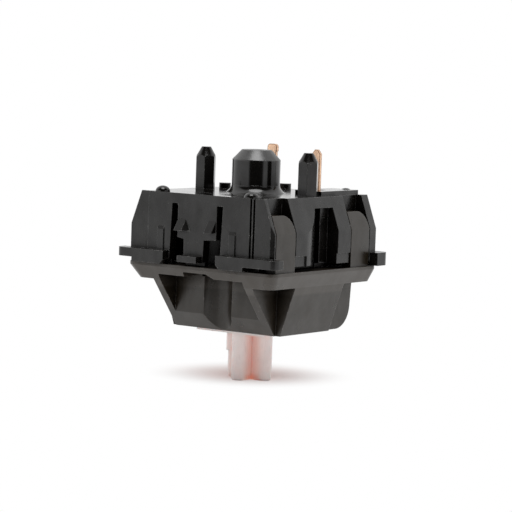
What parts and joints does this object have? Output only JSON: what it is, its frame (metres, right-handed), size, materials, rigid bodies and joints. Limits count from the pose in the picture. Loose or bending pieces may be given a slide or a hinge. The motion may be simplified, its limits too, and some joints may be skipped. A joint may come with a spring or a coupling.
{
  "type": "mechanical keyboard switch",
  "caption": "Board-mounted key switch with a cross stem, leaf contact, centre post, side pegs and plate clips, standing on its stem.",
  "frame": {"origin": "centre of the stem's foot, on the surface that the switch stands on", "axes": "+Z from the stem's foot to the contact pins, +X along the line of the two side pegs, -Y towards the lamp groove"},
  "size_m": [0.0156, 0.0156, 0.0187],
  "materials": {
    "bottom_housing": "moulded nylon, near black, low sheen",
    "top_housing": "moulded nylon, dark warm grey",
    "stem": "milky acetal, faintly pink",
    "spring_steel": "drawn wire",
    "contact_copper": "stamped copper alloy",
    "contact_gold": "bright contact bar"
  },
  "bodies": {
    "housing": {"bottom_housing": "bottom_housing", "top_housing": "top_housing", "return_spring": "spring_steel", "fixed_contact": "contact_copper", "fixed_crosspoint": "contact_gold", "leaf_terminal": "contact_copper"},
    "stem": {"stem": "stem"},
    "leaf": {"contact_leaf": "contact_copper", "leaf_crosspoint": "contact_gold"}
  },
  "joints": [
    {"name": "stem_slide", "type": "slide", "parent": "housing", "child": "stem", "axis": [0, 0, 1], "range_m": [0, 0.004], "stiffness_N_per_m": 150, "deforming": ["return_spring"]},
    {"name": "leaf_flex", "type": "hinge", "parent": "housing", "child": "leaf", "pos_m": [0, 0.0052, 0.0134], "axis": [-1, 0, 0], "range_deg": [0, 3.78]}
  ],
  "couplings": [
    {"joint": "leaf_flex", "follows": "stem_slide", "rad_per_m": 16.46}
  ]
}
